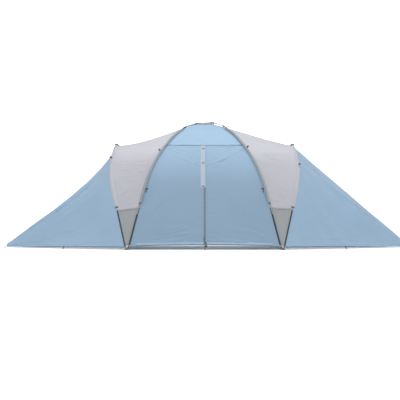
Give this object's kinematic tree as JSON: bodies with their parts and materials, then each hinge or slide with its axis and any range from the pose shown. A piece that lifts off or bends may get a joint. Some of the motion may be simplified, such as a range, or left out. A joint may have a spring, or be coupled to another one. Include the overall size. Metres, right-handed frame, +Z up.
{
  "type": "two-bedroom dome tent",
  "caption": "Family tent with a domed living area on two crossing poles, a lower hoop on each side, a tapering bedroom wing at each end and a zipped door at the front.",
  "frame": {"origin": "on the ground under the crown, in the middle of the tent", "axes": "+Z up, +X along the tent towards the right-hand wing, -Y out of the door"},
  "size_m": [6.177, 2.816, 1.8995],
  "materials": {
    "fly_blue": "pale blue coated polyester, plain weave, matt",
    "fly_grey": "light grey coated polyester, slightly translucent",
    "gusset_grey": "grey polyester, matt",
    "sleeve_grey": "grey polyester sleeve fabric, matt",
    "inner_fabric": "thin off-white polyester, breathable",
    "groundsheet": "dark woven polyethylene",
    "fibreglass": "dark grey-blue fibreglass, satin",
    "ferrule_steel": "zinc-plated steel tube",
    "shock_cord": "black braided elastic",
    "zip_nylon": "dark nylon coil on woven tape",
    "zip_metal": "dark painted zinc",
    "webbing": "dark woven webbing",
    "toggle_plastic": "dark blue moulded plastic",
    "peg_steel": "galvanised steel rod"
  },
  "bodies": {
    "tent": {"corner_tabs": "webbing", "cross_pole_sleeves": "sleeve_grey", "foot_pins": "peg_steel", "front_wall": "fly_blue", "left_bedroom_canopy": "inner_fabric", "left_bedroom_floor": "groundsheet", "left_bedroom_wall": "inner_fabric", "left_front_gusset": "gusset_grey", "left_hoop_ferrules": "ferrule_steel", "left_hoop_rods": "fibreglass", "left_hoop_shock_cord": "shock_cord", "left_hoop_sleeve": "sleeve_grey", "left_rear_gusset": "gusset_grey", "left_roof_panel": "fly_grey", "left_tieback_tab": "webbing", "left_tip_strap": "webbing", "left_wing": "fly_blue", "living_groundsheet": "groundsheet", "lower_cross_pole_ferrules": "ferrule_steel", "lower_cross_pole_rods": "fibreglass", "lower_cross_pole_shock_cord": "shock_cord", "peg_loops": "webbing", "pegs": "peg_steel", "pole_clips": "toggle_plastic", "rear_wall": "fly_blue", "right_bedroom_canopy": "inner_fabric", "right_bedroom_floor": "groundsheet", "right_bedroom_wall": "inner_fabric", "right_front_gusset": "gusset_grey", "right_hoop_ferrules": "ferrule_steel", "right_hoop_rods": "fibreglass", "right_hoop_shock_cord": "shock_cord", "right_hoop_sleeve": "sleeve_grey", "right_rear_gusset": "gusset_grey", "right_roof_panel": "fly_grey", "right_tieback_tab": "webbing", "right_tip_strap": "webbing", "right_wing": "fly_blue", "upper_cross_pole_ferrules": "ferrule_steel", "upper_cross_pole_rods": "fibreglass", "upper_cross_pole_shock_cord": "shock_cord"},
    "left_door": {"left_door_flap": "fly_blue", "left_zip_tape": "zip_nylon", "storm_flap": "fly_grey"},
    "right_door": {"right_door_flap": "fly_blue", "right_zip_tape": "zip_nylon"},
    "door_slider": {"zip_slider": "zip_metal"},
    "door_pull": {"zip_pull": "zip_metal"},
    "left_toggle": {"left_tieback_toggle": "toggle_plastic"},
    "right_toggle": {"right_tieback_toggle": "toggle_plastic"},
    "left_room_door": {"left_bedroom_door": "inner_fabric"},
    "right_room_door": {"right_bedroom_door": "inner_fabric"}
  },
  "joints": [
    {"name": "right_door_swing", "type": "hinge", "parent": "tent", "child": "right_door", "pos_m": [0.99371, -1.1795, 0], "axis": [-0.2258, 0.2473, 0.9423], "range_deg": [0, 135]},
    {"name": "left_door_swing", "type": "hinge", "parent": "tent", "child": "left_door", "pos_m": [-0.99371, -1.1795, 0], "axis": [-0.2258, -0.2473, -0.9423], "range_deg": [0, 135]},
    {"name": "door_zip_slide", "type": "slide", "parent": "left_door", "child": "door_slider", "axis": [0, 0.2538, 0.9673], "range_m": [0, 0.64]},
    {"name": "zip_pull_lift", "type": "hinge", "parent": "door_slider", "child": "door_pull", "pos_m": [-0.0069, -1.14337, 0.1539], "axis": [-1, 0, 0], "range_deg": [0, 95]},
    {"name": "left_toggle_lift", "type": "hinge", "parent": "tent", "child": "left_toggle", "pos_m": [-0.848, -0.9532, 0.86877], "axis": [-1, 0, 0], "range_deg": [0, 90]},
    {"name": "right_toggle_lift", "type": "hinge", "parent": "tent", "child": "right_toggle", "pos_m": [0.848, -0.9532, 0.86877], "axis": [-1, 0, 0], "range_deg": [0, 90]},
    {"name": "right_room_door_swing", "type": "hinge", "parent": "tent", "child": "right_room_door", "pos_m": [1.1885, -0.3785, 0.68], "axis": [0, 0, 1], "range_deg": [0, 120]},
    {"name": "left_room_door_swing", "type": "hinge", "parent": "tent", "child": "left_room_door", "pos_m": [-1.1885, -0.3785, 0.68], "axis": [0, 0, -1], "range_deg": [0, 120]}
  ]
}
